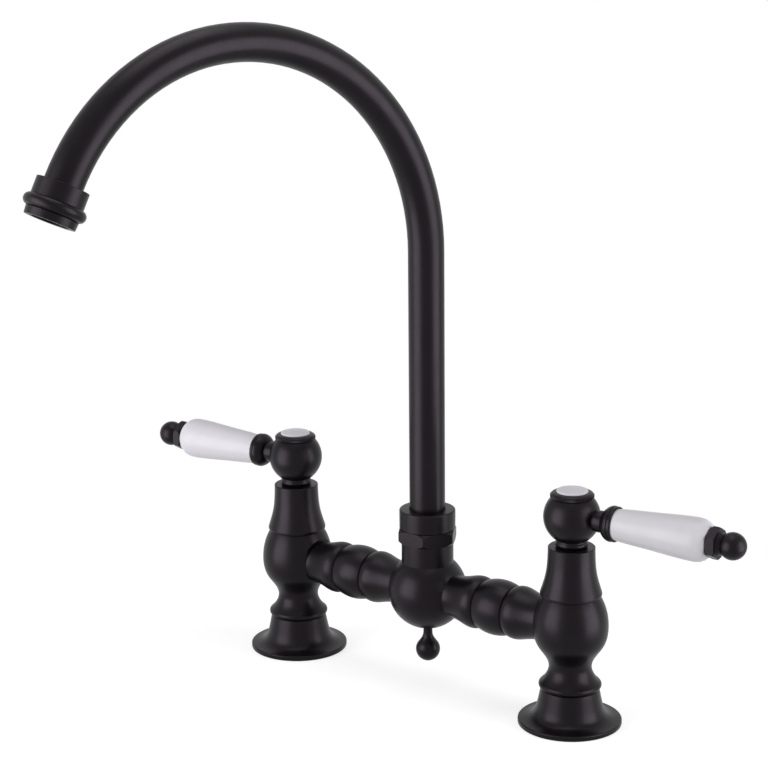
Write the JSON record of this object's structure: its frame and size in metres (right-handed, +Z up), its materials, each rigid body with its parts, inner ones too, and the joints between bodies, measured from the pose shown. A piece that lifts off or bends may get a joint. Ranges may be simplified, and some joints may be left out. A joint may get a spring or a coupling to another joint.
{
  "type": "bridge kitchen faucet",
  "caption": "Deck-mounted bridge kitchen tap with a swivelling gooseneck spout and lever handles with ceramic grips.",
  "frame": {"origin": "on the deck, midway between the two inlets", "axes": "+Z up, X along the bridge from the hot inlet (-X) to the cold inlet (+X), and the user stands at -Y"},
  "size_m": [0.3668, 0.243, 0.3525],
  "materials": {
    "black_coating": "satin black coating on brass",
    "glazed_ceramic": "white glaze",
    "brass": "machined",
    "steel": "machined",
    "ceramic_disc": "ground",
    "rubber": "matte",
    "plastic": "matte"
  },
  "bodies": {
    "tap_body": {"left_base_flange": "black_coating", "left_deck_gasket": "rubber", "left_pillar_body": "black_coating", "left_valve_cover": "black_coating", "left_valve_body": "brass", "left_valve_seal": "rubber", "left_seat_seal": "rubber", "left_fixed_disc": "ceramic_disc", "left_bridge_arm": "black_coating", "left_arm_seals": "rubber", "right_base_flange": "black_coating", "right_deck_gasket": "rubber", "right_pillar_body": "black_coating", "right_valve_cover": "black_coating", "right_valve_body": "brass", "right_valve_seal": "rubber", "right_seat_seal": "rubber", "right_fixed_disc": "ceramic_disc", "right_bridge_arm": "black_coating", "right_arm_seals": "rubber", "centre_body": "black_coating", "drop_finial": "black_coating", "spout_nut": "black_coating", "slip_ring": "plastic"},
    "spout": {"spout_tube": "black_coating", "spout_foot": "brass", "spout_seals": "rubber", "spout_collar": "black_coating", "aerator_shell": "black_coating", "aerator_insert": "plastic", "aerator_washer": "rubber"},
    "left_handle": {"left_moving_disc": "ceramic_disc", "left_valve_spindle": "brass", "left_spindle_seals": "rubber", "left_spindle_clip": "steel", "left_handle_hub": "black_coating", "left_handle_screw": "steel", "left_index_ring": "black_coating", "left_index_button": "glazed_ceramic", "left_lever_neck": "black_coating", "left_lever_stud": "steel", "left_lever_washers": "rubber", "left_lever_grip": "glazed_ceramic", "left_lever_end": "black_coating"},
    "right_handle": {"right_moving_disc": "ceramic_disc", "right_valve_spindle": "brass", "right_spindle_seals": "rubber", "right_spindle_clip": "steel", "right_handle_hub": "black_coating", "right_handle_screw": "steel", "right_index_ring": "black_coating", "right_index_button": "glazed_ceramic", "right_lever_neck": "black_coating", "right_lever_stud": "steel", "right_lever_washers": "rubber", "right_lever_grip": "glazed_ceramic", "right_lever_end": "black_coating"}
  },
  "joints": [
    {"name": "spout_swivel", "type": "hinge", "parent": "tap_body", "child": "spout", "pos_m": [0, 0, 0.075], "axis": [0, 0, 1], "continuous": true},
    {"name": "left_lever_turn", "type": "hinge", "parent": "tap_body", "child": "left_handle", "pos_m": [-0.09, 0, 0.1087], "axis": [0, 0, 1], "range_deg": [0, 90]},
    {"name": "right_lever_turn", "type": "hinge", "parent": "tap_body", "child": "right_handle", "pos_m": [0.09, 0, 0.1087], "axis": [0, 0, 1], "range_deg": [-90, 0]}
  ]
}
